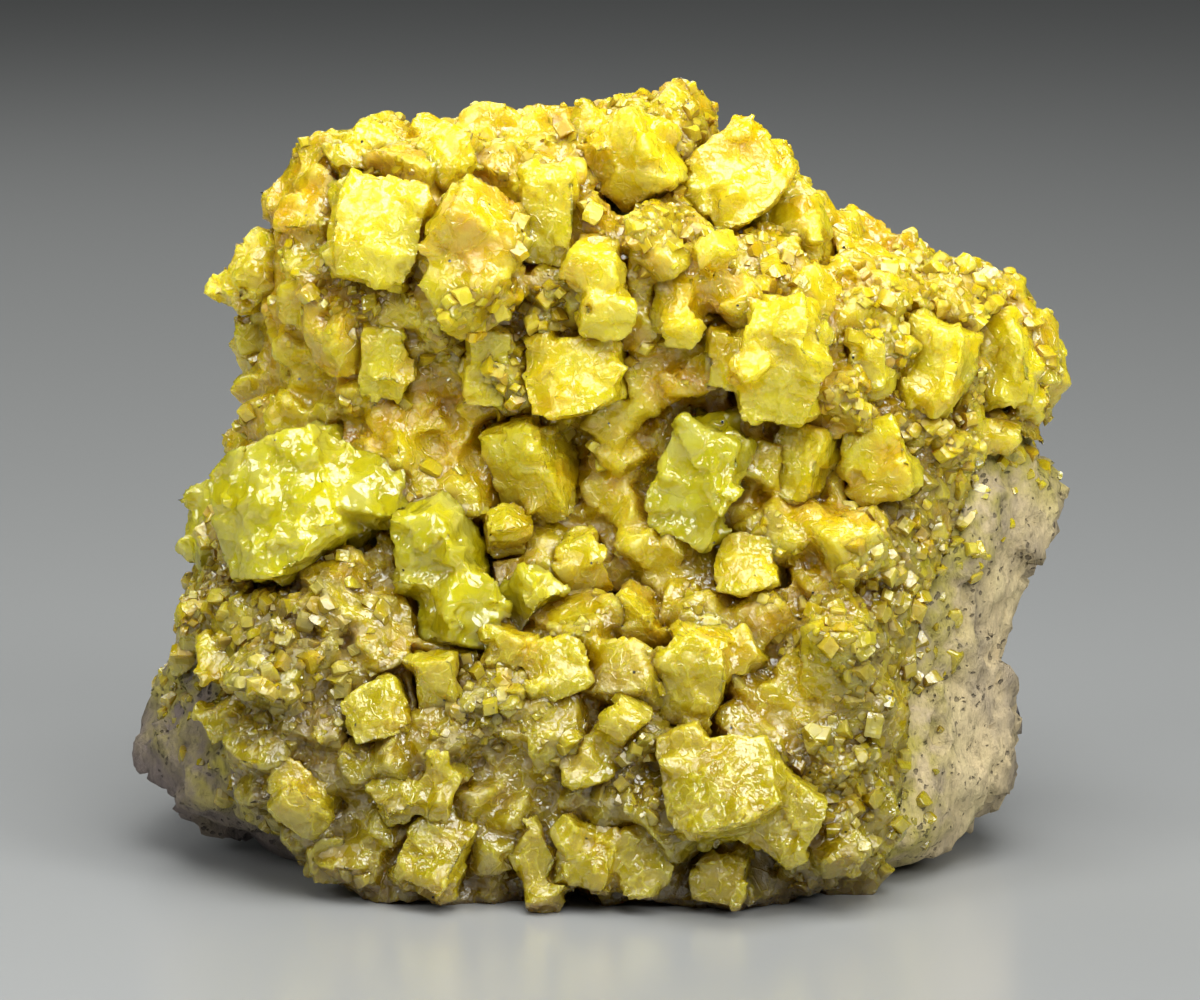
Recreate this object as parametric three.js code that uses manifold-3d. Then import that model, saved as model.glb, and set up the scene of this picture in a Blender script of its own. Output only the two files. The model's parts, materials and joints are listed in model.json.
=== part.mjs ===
// A native sulfur specimen: a lump of volcanic tuff whose front and top carry a crust of intergrown
// sulfur crystals, with larger crystals standing in the crust and a few sitting alone on bare rock.
// Millimetres, +Z up. The front of the specimen faces -Y, and its flat resting face lies on z = 0.
import * as THREE from "three";
import { ConvexGeometry } from "three/addons/geometries/ConvexGeometry.js";
import { ImprovedNoise } from "three/addons/math/ImprovedNoise.js";
import { mergeVertices } from "three/addons/utils/BufferGeometryUtils.js";
import Module from "manifold-3d";

const wasm = await Module();
wasm.setup();

// ---- Driving dimensions ----
const GAP = 0.3; // between touching solids
const CRUST = 3.4; // thickness of the sulfur crust where it is thickest
const FADE = -1.6; // depth that the crust sheet dives to inside the rock where there is none
const CRUST_CLEARANCE = 0.3; // height of the lowest sulfur above the resting face
const ROCK_DETAIL = 5; // subdivision of the icosahedron behind the rock and the crust
const SQUARENESS = 2.5; // exponent of the rock's sections: 2 is an ellipse, more is boxier
const LUMPS = [
  { across: 11, high: 1.5 },
  { across: 5, high: 0.7 },
]; // the rock's unevenness

// Alpha-sulfur is orthorhombic, with the axes a : b : c in these proportions.
const AXIS_A = 0.813;
const AXIS_C = 1.903;
const SIDE_SHARE = 0.44; // distance of a prism face from the axis, as a share of a crystal's breadth
const TRIM = 0.86; // how far in the bipyramid trims the edges of the ends: 1 leaves them sharp
const TRIMMED_FROM = 5.3; // breadth from which a crystal is trimmed at all
const DOMED_FROM = 12; // breadth from which a crystal shows dome faces
const DOME_SHARE = 1.18; // the same for the domes, which trim the prism's corners
const UNEVEN_GROWTH = 0.14; // spread of the distances of a crystal's faces from its centre

// The middling crystals that fill the crust between the ones with a place of their own.
const FILL = {
  column: 17, // between two beside each other
  row: 14, // between two above each other
  scatter: 4, // most that one strays from the grid, both ways together
  edge: 3, // kept free inside the rock's outline
  clearance: 0.6, // to the nearest crystal with a place of its own
  width: [5, 8],
  slenderness: [0.9, 1.6],
  nod: 50,
  out: 0.2,
};

// Where the crust ends: each place is where it starts to thin, and over is the distance in which it is gone.
const CRUST_ENDS = {
  behind: { from: -2, over: 12 },
  right: { from: 26, over: 9, upperShift: 20, between: [34, 50] },
  left: { from: 33, over: 8, upperShift: 12, between: [16, 32] },
  foot: { from: 6, over: 6 },
  under: { from: 0.5, over: 2.5 },
  wobble: { across: 9, deep: 3 },
};

// The rock's horizontal sections, from the resting face to the top.
const SECTIONS = [
  { z: -3, left: -22, right: 24, front: -10, back: 18 },
  { z: 0, left: -32, right: 35, front: -18, back: 24 },
  { z: 4, left: -43.5, right: 42, front: -21, back: 27 },
  { z: 10, left: -47, right: 43.5, front: -22, back: 29 },
  { z: 18, left: -45, right: 42, front: -20, back: 30 },
  { z: 28, left: -36.5, right: 43, front: -16, back: 30 },
  { z: 36, left: -34.5, right: 48, front: -12, back: 29 },
  { z: 46, left: -31, right: 43, front: -9, back: 27 },
  { z: 56, left: -31, right: 39, front: -10, back: 23 },
  { z: 60, left: -31, right: 31, front: -10, back: 21 },
  { z: 63, left: -29.5, right: 18, front: -9, back: 19 },
  { z: 69, left: -27, right: 14, front: -6, back: 13 },
  { z: 74, left: -18, right: 5, front: -2, back: 7 },
];

// Swellings (+) and hollows (-) of the front face, seen from the front.
const RELIEF = [
  { x: -6, z: 41, radius: 13, out: -5 },
  { x: 6, z: 30, radius: 7, out: -2 },
  { x: 0, z: 60, radius: 16, out: 3 },
  { x: 14, z: 12, radius: 12, out: 3 },
  { x: 18, z: 52, radius: 9, out: 2.5 },
  { x: -30, z: 36, radius: 10, out: 2 },
];

// Crystals that stand out one by one. Each has its place on the front face, its breadth, and its height
// along its c axis. lean turns the c axis clockwise as seen from the front, nod tips its top towards the
// front and roll turns it on itself. out is how far its centre stands in front of the crust or bare rock.
// Crystals that share a solid overlap, so they are one intergrown cluster.
const CRYSTALS = {
  clear_left_cluster: [
    { x: -30, z: 37, width: 15, height: 14, lean: 62, nod: 20, roll: 20, out: 1.8 },
    { x: -37, z: 32.5, width: 8, height: 10, lean: 20, nod: 10, roll: 60, out: 1.6 },
    { x: -24, z: 39, width: 8, height: 9, lean: 100, nod: 0, roll: 10, out: 1.6 },
  ],
  clear_left_neighbour: [
    { x: -15.4, z: 33, width: 8.4, height: 11, lean: -28, nod: 10, roll: 25, out: 1.2 },
    { x: -13.5, z: 28.5, width: 6.5, height: 7, lean: 10, nod: -15, roll: 70, out: 1 },
  ],
  upper_left_block: [{ x: -21.5, z: 65, width: 10, height: 10, lean: 12, nod: -10, roll: 40, out: 2 }],
  left_edge_upper: [{ x: -34, z: 59, width: 6, height: 7.5, lean: 25, nod: 0, roll: 20, out: 0.1 }],
  left_edge_lower: [{ x: -34, z: 52.5, width: 4, height: 4.6, lean: 80, nod: 0, roll: 50, out: 0.1 }],
  left_mid_block: [{ x: -21.5, z: 52, width: 5.6, height: 7.6, lean: 4, nod: 12, roll: 45, out: 1.2 }],
  tall_upper_centre: [{ x: -4.8, z: 66.5, width: 6.8, height: 10, lean: 4, nod: 0, roll: 35, out: 0.8 }],
  stacked_pair: [
    { x: -0.5, z: 62, width: 6.4, height: 4.8, lean: 6, nod: 20, roll: 30, out: 1.6 },
    { x: 0.6, z: 58.2, width: 6, height: 4.6, lean: 10, nod: 24, roll: 50, out: 2.2 },
  ],
  round_centre: [{ x: -2.2, z: 51, width: 8.6, height: 9.2, lean: 78, nod: 14, roll: 30, out: 2.4 }],
  small_prism: [{ x: -11, z: 52, width: 4.8, height: 8.4, lean: 8, nod: 10, roll: 45, out: 1.6 }],
  tilted_tablet: [
    { x: 10.8, z: 61, width: 4.6, height: 7.2, lean: -35, nod: 8, roll: 45, out: 1.6 },
    { x: 8, z: 58.2, width: 5.2, height: 6.2, lean: 8, nod: -6, roll: 10, out: 0.6 },
  ],
  big_right_block: [
    { x: 17.6, z: 53, width: 8.6, height: 11.5, lean: 6, nod: 6, roll: 42, out: 2 },
    { x: 12.2, z: 53, width: 4.2, height: 6, lean: 6, nod: 4, roll: 44, out: 1.2 },
  ],
  upper_right_block: [{ x: 19.2, z: 62.4, width: 8, height: 9, lean: -8, nod: -12, roll: 30, out: 0.2 }],
  centre_round: [{ x: -6.3, z: 41.6, width: 9, height: 11, lean: -22, nod: 6, roll: 15, out: 2 }],
  centre_right: [{ x: 10, z: 40.5, width: 9.2, height: 12, lean: 18, nod: 8, roll: 25, out: 1.6 }],
  right_mid_small: [{ x: 26.2, z: 52.5, width: 4, height: 5.6, lean: 4, nod: 6, roll: 44, out: 0.6 }],
  right_mid_upper: [{ x: 19.8, z: 42.5, width: 6.6, height: 7.8, lean: 12, nod: 0, roll: 20, out: 0.4 }],
  right_mid_lower: [{ x: 27.4, z: 42.5, width: 7, height: 8, lean: -14, nod: 0, roll: 35, out: 0.4 }],
  small_cube: [{ x: -9.6, z: 35, width: 4.2, height: 4.2, lean: -12, nod: 6, roll: 45, out: 0.8 }],
  centre_low_prism: [{ x: -1.6, z: 32, width: 5.6, height: 7, lean: -24, nod: 6, roll: 40, out: 0.8 }],
  centre_glassy: [{ x: -6.4, z: 29.6, width: 5.2, height: 5.6, lean: 30, nod: 30, roll: 10, out: 0.6 }],
  low_round_pair: [
    { x: -3.8, z: 23.4, width: 6.8, height: 6.4, lean: 65, nod: 6, roll: 30, out: 1.4 },
    { x: -9.2, z: 24.2, width: 4.8, height: 5.4, lean: 15, nod: 4, roll: 20, out: 0.4 },
  ],
  low_centre_block: [{ x: 3.8, z: 27, width: 6.6, height: 7, lean: -50, nod: 0, roll: 20, out: 0.4 }],
  horned_low_right: [
    { x: 9.4, z: 23, width: 7.6, height: 9.6, lean: 12, nod: 8, roll: 30, out: 1.6 },
    { x: 12.8, z: 24.2, width: 4.6, height: 6, lean: 60, nod: 0, roll: 10, out: 1.2 },
  ],
  right_low_rosette: [{ x: 15, z: 32.4, width: 7.2, height: 6.4, lean: 80, nod: 10, roll: 20, out: 0.6 }],
  bottom_right_mass: [
    { x: 12.4, z: 12.6, width: 10, height: 11, lean: 70, nod: 10, roll: 15, out: 1.8 },
    { x: 17.2, z: 10.6, width: 8, height: 8, lean: 35, nod: 0, roll: 50, out: 1.2 },
    { x: 8.8, z: 15.2, width: 6.5, height: 7, lean: -20, nod: 0, roll: 30, out: 0.6 },
  ],
  bottom_centre_pair: [
    { x: -0.6, z: 5.6, width: 6.4, height: 6.8, lean: 15, nod: -10, roll: 25, out: 0.8 },
    { x: 4, z: 5.4, width: 6.2, height: 6.4, lean: -10, nod: -6, roll: 50, out: 0.8 },
  ],
  bottom_centre_left: [{ x: -5.8, z: 4.6, width: 5, height: 7.6, lean: -28, nod: -20, roll: 30, out: 0.4 }],
  bottom_left_wedge: [
    { x: -15.4, z: 5.2, width: 6.6, height: 8.4, lean: 30, nod: -16, roll: 20, out: 0.8 },
  ],
  bottom_front_spur: [{ x: 12, z: 4, width: 6.4, height: 7, lean: 12, nod: -20, roll: 30, out: 0.2 }],
  grey_cluster: [
    { x: 1.6, z: 17.4, width: 5, height: 5.4, lean: 40, nod: 10, roll: 45, out: 0.2 },
    { x: -1.4, z: 14.2, width: 5.6, height: 5, lean: 75, nod: -6, roll: 20, out: 0.2 },
  ],
  low_left_step: [{ x: -15.8, z: 21.4, width: 5, height: 6, lean: -8, nod: 4, roll: 35, out: 0.4 }],
  low_left_lump: [{ x: -21.4, z: 18.8, width: 6.6, height: 6.2, lean: 70, nod: 0, roll: 25, out: 0.2 }],
  low_left_tooth: [
    { x: -16, z: 12, width: 4.4, height: 6.2, lean: 28, nod: 6, roll: 40, out: 0.6 },
    { x: -19.6, z: 11, width: 5, height: 4.6, lean: 60, nod: 0, roll: 20, out: 0 },
  ],
  flank_hexagon: [{ x: -36.6, z: 22.4, width: 6, height: 6.2, lean: 84, nod: 4, roll: 20, out: 0 }],
  flank_pebble: [{ x: -36.8, z: 16.6, width: 4.2, height: 5, lean: 62, nod: 4, roll: 35, out: 0.2 }],
  foot_hollow: [{ x: -28.8, z: 9.6, width: 5.4, height: 6, lean: -50, nod: 8, roll: 25, out: 0 }],
  foot_tablet: [{ x: -26.6, z: 4.2, width: 4.4, height: 5, lean: -6, nod: 6, roll: 44, out: 0.4 }],
  crest_left: [{ x: -23, z: 70.8, width: 7, height: 6.6, lean: 48, nod: -20, roll: 30, out: -0.4 }],
  crest_fin: [{ x: -14.8, z: 71.2, width: 5.8, height: 6.6, lean: 30, nod: -20, roll: 10, out: -0.4 }],
  crest_centre: [{ x: 3.4, z: 71.4, width: 8.6, height: 9, lean: -30, nod: -14, roll: 25, out: 0.2 }],
  crest_right: [{ x: 13.2, z: 68.8, width: 10, height: 10, lean: 55, nod: -16, roll: 30, out: -0.2 }],
  shoulder_inner: [{ x: 33, z: 51.4, width: 8.6, height: 9, lean: 20, nod: 0, roll: 20, out: 0 }],
  shoulder_outer: [{ x: 40, z: 50.6, width: 8, height: 9.6, lean: -12, nod: -6, roll: 30, out: -0.8 }],
};

const CLEAR_CRYSTALS = ["clear_left_cluster", "clear_left_neighbour", "centre_glassy", "centre_right"];

const noise = new ImprovedNoise();
const radians = THREE.MathUtils.degToRad;
const smoothstep = THREE.MathUtils.smoothstep;

// A repeatable random number in 0..1 from a counter.
function random(n) {
  const s = Math.sin(n * 12.9898 + 4.1414) * 43758.5453;
  return s - Math.floor(s);
}

// ---- The rock's surface ----

// Left, right, front and back of the rock at a height, eased between the sections.
function sectionAt(z) {
  const last = SECTIONS.length - 1;
  const above = SECTIONS.findIndex((s) => s.z > z);
  const i = above < 0 ? last : Math.max(1, above);
  const low = SECTIONS[i - 1];
  const high = SECTIONS[i];
  const t = THREE.MathUtils.clamp((z - low.z) / (high.z - low.z), 0, 1);
  const ease = (key) => THREE.MathUtils.lerp(low[key], high[key], t * t * (3 - 2 * t) * 0.5 + t * 0.5);
  return { left: ease("left"), right: ease("right"), front: ease("front"), back: ease("back") };
}

function reliefAt(x, z) {
  return RELIEF.reduce((sum, r) => {
    const share = ((x - r.x) ** 2 + (z - r.z) ** 2) / r.radius ** 2;
    return sum + r.out * Math.exp(-share);
  }, 0);
}

// The depth (y) of the rock's front face behind a place seen from the front.
function frontDepth(x, z) {
  const s = sectionAt(z);
  const middle = (s.left + s.right) / 2;
  const across = Math.min(1, Math.abs(x - middle) / ((s.right - s.left) / 2));
  const share = (1 - across ** SQUARENESS) ** (1 / SQUARENESS);
  const centre = (s.front + s.back) / 2;
  return centre + (s.front - centre) * share - reliefAt(x, z) * share;
}

// Moves a point of the unit sphere onto the rock.
function rockPoint(p) {
  const top = SECTIONS[SECTIONS.length - 1].z;
  const bottom = SECTIONS[0].z;
  const z = THREE.MathUtils.lerp(bottom, top, 0.5 + 0.5 * Math.sin(p.z * Math.PI * 0.5));
  const s = sectionAt(z);
  const flat = Math.max(Math.hypot(p.x, p.y), 1e-6);
  const share = Math.abs(p.x / flat) ** SQUARENESS + Math.abs(p.y / flat) ** SQUARENESS;
  const round = Math.max(share, 0.1) ** (-1 / SQUARENESS);
  const toPole = Math.min(1, flat * 2.2) ** 0.8;
  const reach = round * toPole;
  const centreX = (s.left + s.right) / 2;
  const centreY = (s.front + s.back) / 2;
  const x = centreX + ((s.right - s.left) / 2) * reach * (p.x / flat);
  let y = centreY + ((s.back - s.front) / 2) * reach * (p.y / flat);
  if (p.y < 0) y -= reliefAt(x, z) * Math.abs(p.y / flat) * toPole;
  const rough = LUMPS.reduce(
    (sum, { across, high }, i) => sum + high * noise.noise(x / across, y / across, z / across + 40 * i),
    0,
  );
  return new THREE.Vector3(x, y, z).addScaledVector(p, rough);
}

// Thickness of the sulfur crust over a point of the rock: there is none behind, on the right flank and at
// the lower left, and both flanks stay covered further out towards the top.
function crustThickness(p) {
  const s = sectionAt(p.z);
  const { behind, right, left, foot, under, wobble } = CRUST_ENDS;
  const stray =
    wobble.deep * noise.noise(p.x / wobble.across, p.y / wobble.across + 7, p.z / wobble.across);
  const past = ({ from, over }, distance) => smoothstep(distance, from, from + over);
  const shift = ({ upperShift, between }) => upperShift * smoothstep(p.z, ...between);
  const bare = Math.max(
    past(behind, p.y + stray - (s.front + s.back) / 2),
    past(right, p.x + stray - shift(right)),
    past(left, stray - p.x - shift(left)),
    past(foot, stray - p.x * 0.5 - p.z),
    1 - past(under, p.z),
  );
  return THREE.MathUtils.lerp(CRUST, FADE, bare);
}

// ---- Turning geometry into solids and back ----

function solidOf(geometry) {
  geometry.deleteAttribute("normal");
  geometry.deleteAttribute("uv");
  const merged = mergeVertices(geometry, 1e-3);
  const vertProperties = new Float32Array(merged.attributes.position.array);
  const triVerts = new Uint32Array(merged.index.array);
  return new wasm.Manifold(new wasm.Mesh({ numProp: 3, vertProperties, triVerts }));
}

function geometryOf(solid) {
  const mesh = solid.getMesh();
  const geometry = new THREE.BufferGeometry();
  geometry.setAttribute("position", new THREE.BufferAttribute(new Float32Array(mesh.vertProperties), 3));
  geometry.setIndex(new THREE.BufferAttribute(new Uint32Array(mesh.triVerts), 1));
  return geometry;
}

// The largest of a solid's separate bodies, so that no loose sliver stays.
function largestBody(solid) {
  return solid.decompose().sort((a, b) => b.volume() - a.volume())[0];
}

// A block, larger than the specimen, that fills the space below a height.
function spaceBelow(height) {
  const side = 200;
  const block = new THREE.BoxGeometry(side, side, side);
  block.translate(0, 0, height - side / 2);
  return solidOf(block);
}

// ---- The rock, the crust sheet and the crystals ----

// Along the crest the real outline dips between its peaks: x and how far the top is lowered there.
const CREST = [
  [-40, 0], [-29, -1], [-24, 2], [-18.5, 5], [-14.5, 3], [-10, 5.2], [-5, 3.8], [-1, 1.6], [5, 1],
  [10, 0], [15, 2], [19, 3.2], [23, 2], [27, 2.6], [32, 1], [38, 3.4], [44, 1], [60, 0],
];
const CREST_FADE = 15;

function crestDrop({ x, z }) {
  const i = Math.max(1, CREST.findIndex(([at]) => at > x));
  const [[x0, drop0], [x1, drop1]] = [CREST[i - 1], CREST[i]];
  const drop = THREE.MathUtils.mapLinear(THREE.MathUtils.clamp(x, x0, x1), x0, x1, drop0, drop1);
  const top = THREE.MathUtils.mapLinear(THREE.MathUtils.clamp(x, 20, 30), 20, 30, 74, 61);
  return drop * THREE.MathUtils.smoothstep(z, top - CREST_FADE, top);
}

// The rock's closed surface, moved outwards along its normals by offset(point).
function rockSolid(offset) {
  const ball = new THREE.IcosahedronGeometry(1, ROCK_DETAIL);
  ball.deleteAttribute("normal");
  ball.deleteAttribute("uv");
  const geometry = mergeVertices(ball, 1e-4);
  const position = geometry.attributes.position;
  const p = new THREE.Vector3();
  for (let i = 0; i < position.count; i++) {
    p.fromBufferAttribute(position, i).normalize();
    position.setXYZ(i, ...rockPoint(p));
  }
  geometry.computeVertexNormals();
  const normals = geometry.attributes.normal.clone();
  const n = new THREE.Vector3();
  for (let i = 0; i < position.count; i++) {
    p.fromBufferAttribute(position, i);
    n.fromBufferAttribute(normals, i);
    p.addScaledVector(n, offset(p));
    position.setXYZ(i, p.x, p.y, p.z - crestDrop(p));
  }
  return solidOf(geometry);
}

// The faces of a sulfur crystal as planes {normal, reach, trimmed}: a block of four prism and two end
// faces, whose edges the bipyramid trims and, on a large one, the domes too.
function crystalFaces({ width, height }, seed) {
  const faces = [];
  const add = (x, y, z, share, trimmed = false) => {
    const uneven = 1 + UNEVEN_GROWTH * (random(seed * 31 + faces.length * 7) - 0.5);
    const normal = new THREE.Vector3(x / AXIS_A, y, z / AXIS_C).normalize();
    const across = Math.hypot(normal.x, normal.y) * width * SIDE_SHARE;
    const reach = share * uneven * (across + (Math.abs(normal.z) * height) / 2);
    faces.push({ normal, reach, trimmed });
  };
  for (const i of [-1, 1]) {
    add(0, 0, i, 1);
    for (const j of [-1, 1]) {
      add(i, j, 0, 1);
      if (width > DOMED_FROM) add(0, i, j, DOME_SHARE, true);
      for (const k of width > TRIMMED_FROM ? [-1, 1] : []) add(i, j, k, TRIM, true);
    }
  }
  return faces;
}

// The corners of the body that lies behind every face, each moved out by grow.
function cornersOf(faces, grow) {
  const corners = [];
  const far = faces.map((f) => f.reach + grow);
  const cross = new THREE.Vector3();
  for (let i = 0; i < faces.length; i++) {
    for (let j = i + 1; j < faces.length; j++) {
      for (let k = j + 1; k < faces.length; k++) {
        const [n1, n2, n3] = [faces[i].normal, faces[j].normal, faces[k].normal];
        const det = n1.dot(cross.crossVectors(n2, n3));
        if (Math.abs(det) < 1e-6) continue;
        const at = new THREE.Vector3()
          .addScaledVector(new THREE.Vector3().crossVectors(n2, n3), far[i] / det)
          .addScaledVector(new THREE.Vector3().crossVectors(n3, n1), far[j] / det)
          .addScaledVector(new THREE.Vector3().crossVectors(n1, n2), far[k] / det);
        const inside = faces.every((f, m) => f.normal.dot(at) < far[m] + 1e-6);
        if (inside && !corners.some((q) => q.distanceTo(at) < 0.05)) corners.push(at);
      }
    }
  }
  return corners;
}

// One crystal, standing in the front face at its place.
function crystalSolid(spec, seed) {
  return standing(spec, cornersOf(crystalFaces(spec, seed), 0));
}

// The space that a crystal needs with its gap: its plain block, without the trimmed edges.
function seatSolid(spec, seed) {
  const block = crystalFaces(spec, seed).filter(({ trimmed }) => !trimmed);
  return standing(spec, cornersOf(block, GAP));
}

function standing(spec, corners) {
  const geometry = new ConvexGeometry(corners);
  geometry.rotateZ(radians(spec.roll));
  geometry.rotateX(radians(spec.nod));
  geometry.rotateY(radians(spec.lean));
  const y = frontDepth(spec.x, spec.z);
  const crust = Math.max(0, crustThickness({ x: spec.x, y, z: spec.z }));
  geometry.translate(spec.x, y - crust - spec.out, spec.z);
  return solidOf(geometry);
}

const rock = rockSolid(() => 0).subtract(spaceBelow(0));
const rockClearance = rockSolid(() => GAP);
const sulfurLimit = rockClearance.add(spaceBelow(CRUST_CLEARANCE));

// Crystals with a place of their own, and the same ones grown by the gap, which cut their seats in the
// crust and in the crystals that are listed after them.
const named = [];
for (const [name, group] of Object.entries(CRYSTALS)) {
  const seed = named.length * 10 + 1;
  const join = (make) => group.map((spec, i) => make(spec, seed + i)).reduce((sum, s) => sum.add(s));
  const whole = join(crystalSolid).subtract(sulfurLimit);
  const body = named.reduce((left, earlier) => left.subtract(earlier.seat), whole);
  named.push({ name, group, body, seat: join(seatSolid) });
}

// The distance from a place on the front face to the nearest crystal of CRYSTALS.
function distanceToNamed(place) {
  const crystals = named.flatMap(({ group }) => group);
  const distances = crystals.map(
    (c) => Math.hypot(c.x - place.x, c.z - place.z) - Math.min(c.width, c.height) / 2,
  );
  return Math.min(...distances);
}

// The middling crystals, on a loose grid over the front face.
function fillCrystals() {
  const found = [];
  const top = SECTIONS[SECTIONS.length - 1].z;
  const left = Math.min(...SECTIONS.map((s) => s.left));
  const right = Math.max(...SECTIONS.map((s) => s.right));
  const spread = ([low, high], share) => THREE.MathUtils.lerp(low, high, share);
  let n = 1;
  for (let z = FILL.row / 2; z < top; z += FILL.row) {
    for (let x = left; x < right; x += FILL.column) {
      n += 1;
      const draw = (i) => random(n + 400 * i);
      const place = { x: x + FILL.scatter * (draw(0) - 0.5), z: z + FILL.scatter * (draw(1) - 0.5) };
      const s = sectionAt(place.z);
      if (place.x < s.left + FILL.edge || place.x > s.right - FILL.edge) continue;
      const y = frontDepth(place.x, place.z);
      if (crustThickness({ ...place, y }) < CRUST * 0.6) continue;
      if (distanceToNamed(place) < FILL.clearance) continue;
      const width = spread(FILL.width, draw(2));
      found.push({
        ...place,
        width,
        height: width * spread(FILL.slenderness, draw(3)),
        lean: 180 * draw(4),
        nod: FILL.nod * (draw(5) - 0.5),
        roll: 90 * draw(6),
        out: FILL.out,
      });
    }
  }
  return found.map((spec, i) => crystalSolid(spec, i + 700));
}

const sheet = rockSolid(crustThickness);
const druse = largestBody(
  named.reduce(
    (sum, { seat }) => sum.subtract(seat),
    fillCrystals().reduce((sum, c) => sum.add(c), sheet).subtract(sulfurLimit),
  ),
);

// ---- The scene graph ----

const finish = (name, color, roughness) => new THREE.MeshStandardMaterial({ name, color, roughness });
const tuff = finish("volcanic tuff", 0xa89a82, 0.95);
const crustSulfur = finish("druse sulfur", 0xd8bd2c, 0.4);
const cloudySulfur = finish("cloudy sulfur", 0xe6d44a, 0.2);
const clearSulfur = finish("clear sulfur", 0xdde03c, 0.08);
clearSulfur.transparent = true;
clearSulfur.opacity = 0.6;

const specimen = new THREE.Group();
specimen.name = "sulfur_specimen";

function addPart(name, solid, material) {
  const mesh = new THREE.Mesh(geometryOf(solid), material);
  mesh.name = name;
  specimen.add(mesh);
}

addPart("matrix_rock", rock, tuff);
addPart("sulfur_druse", druse, crustSulfur);
for (const { name, body } of named) {
  addPart(name, largestBody(body), CLEAR_CRYSTALS.includes(name) ? clearSulfur : cloudySulfur);
}

// The origin is the middle of the bounding box at the resting face.
const bounds = new THREE.Box3().setFromObject(specimen, true);
specimen.children.forEach((mesh) =>
  mesh.position.set(-(bounds.min.x + bounds.max.x) / 2, -(bounds.min.y + bounds.max.y) / 2, -bounds.min.z),
);

export default specimen;
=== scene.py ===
# A native sulfur specimen: crystals grown over the front and top of a lump of volcanic tuff.
import json
import math
import random

import bmesh
import bpy
from mathutils import Euler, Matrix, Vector, noise
from mathutils.bvhtree import BVHTree


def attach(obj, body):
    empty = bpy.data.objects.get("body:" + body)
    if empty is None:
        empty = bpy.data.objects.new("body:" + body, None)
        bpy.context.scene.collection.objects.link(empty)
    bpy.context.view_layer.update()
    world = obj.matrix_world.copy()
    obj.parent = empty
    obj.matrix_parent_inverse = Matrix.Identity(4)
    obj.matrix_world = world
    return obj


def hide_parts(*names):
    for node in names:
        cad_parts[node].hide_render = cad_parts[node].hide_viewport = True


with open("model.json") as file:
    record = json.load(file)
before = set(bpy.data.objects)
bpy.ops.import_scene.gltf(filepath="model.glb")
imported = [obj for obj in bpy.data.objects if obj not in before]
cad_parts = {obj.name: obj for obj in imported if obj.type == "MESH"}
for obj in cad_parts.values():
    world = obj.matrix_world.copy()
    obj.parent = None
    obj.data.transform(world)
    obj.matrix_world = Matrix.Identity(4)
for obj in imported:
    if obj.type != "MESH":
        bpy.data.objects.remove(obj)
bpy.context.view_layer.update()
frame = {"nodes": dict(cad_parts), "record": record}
mm = 0.001


def linearColor(hexText):
    def channel(part):
        value = int(part, 16) / 255
        return value / 12.92 if value <= 0.04045 else ((value + 0.055) / 1.055) ** 2.4

    return (*[channel(hexText[i : i + 2]) for i in (1, 3, 5)], 1.0)


def addNode(tree, kind, settings=None, inputs=None):
    # one node with its settings, and each input given a value or linked from a socket
    node = tree.nodes.new(kind)
    for key, value in (settings or {}).items():
        setattr(node, key, value)
    for key, value in (inputs or {}).items():
        if isinstance(value, bpy.types.NodeSocket):
            tree.links.new(value, node.inputs[key])
        else:
            node.inputs[key].default_value = value
    return node


def smooth(low, high, value):
    t = min(1.0, max(0.0, (value - low) / (high - low)))
    return t * t * (3 - 2 * t)


def objectOf(name, mesh):
    piece = bpy.data.objects.new(name, mesh)
    bpy.context.scene.collection.objects.link(piece)
    return piece


def meshOfNode(node):
    # a merged copy of a CAD node, because the node itself is loose triangles
    bm = bmesh.new()
    bm.from_mesh(frame["nodes"][node].data)
    bmesh.ops.remove_doubles(bm, verts=bm.verts, dist=0.002 * mm)
    mesh = bpy.data.meshes.new(node)
    bm.to_mesh(mesh)
    bm.free()
    mesh.materials.clear()
    return mesh


def finishedMesh(piece):
    # the piece's mesh with its modifiers applied, and the piece itself removed
    graph = bpy.context.evaluated_depsgraph_get()
    mesh = bpy.data.meshes.new_from_object(piece.evaluated_get(graph))
    source = piece.data
    bpy.data.objects.remove(piece)
    if source.users == 0:
        bpy.data.meshes.remove(source)
    return mesh


def remeshed(mesh, voxel):
    piece = objectOf("remeshing", mesh)
    grid = piece.modifiers.new("grid", "REMESH")
    grid.mode = "VOXEL"
    grid.voxel_size = voxel
    grid.use_smooth_shade = True
    return finishedMesh(piece)


def displace(mesh, height):
    # moves every vertex along its normal by height(place in mm, normal), in mm, but not below the table
    places = [v.co / mm for v in mesh.vertices]
    normals = [v.normal.copy() for v in mesh.vertices]
    moved = [p + n * height(p, n) for p, n in zip(places, normals)]
    flat = [c * mm for p in moved for c in (p.x, p.y, max(p.z, 0.0))]
    mesh.vertices.foreach_set("co", flat)
    mesh.update()


def facetHeight(place, size, tilt, step=0.0, metric="DISTANCE"):
    # flat patches of about this size, each tilted its own way and up to step mm proud of the next
    centre = noise.voronoi(place / size, distance_metric=metric)[1][0]
    lean = noise.cell_vector(centre * 37.0) - Vector((0.5, 0.5, 0.5))
    rise = (noise.cell(centre * 53.0) - 0.5) * 2 * step
    return (place / size - centre).dot(lean) * 2 * tilt * size + rise


def setAttribute(mesh, name, share):
    # gives each vertex the value share(place in mm, normal)
    layer = mesh.attributes.get(name) or mesh.attributes.new(name, "FLOAT", "POINT")
    layer.data.foreach_set("value", [share(v.co / mm, v.normal) for v in mesh.vertices])


def treeOf(mesh):
    return BVHTree.FromPolygons([v.co for v in mesh.vertices], [p.vertices for p in mesh.polygons])


def fit(piece, node):
    # a finished piece: it rides with the specimen and stands for a CAD node
    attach(piece, "root")
    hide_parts(node)


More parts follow.
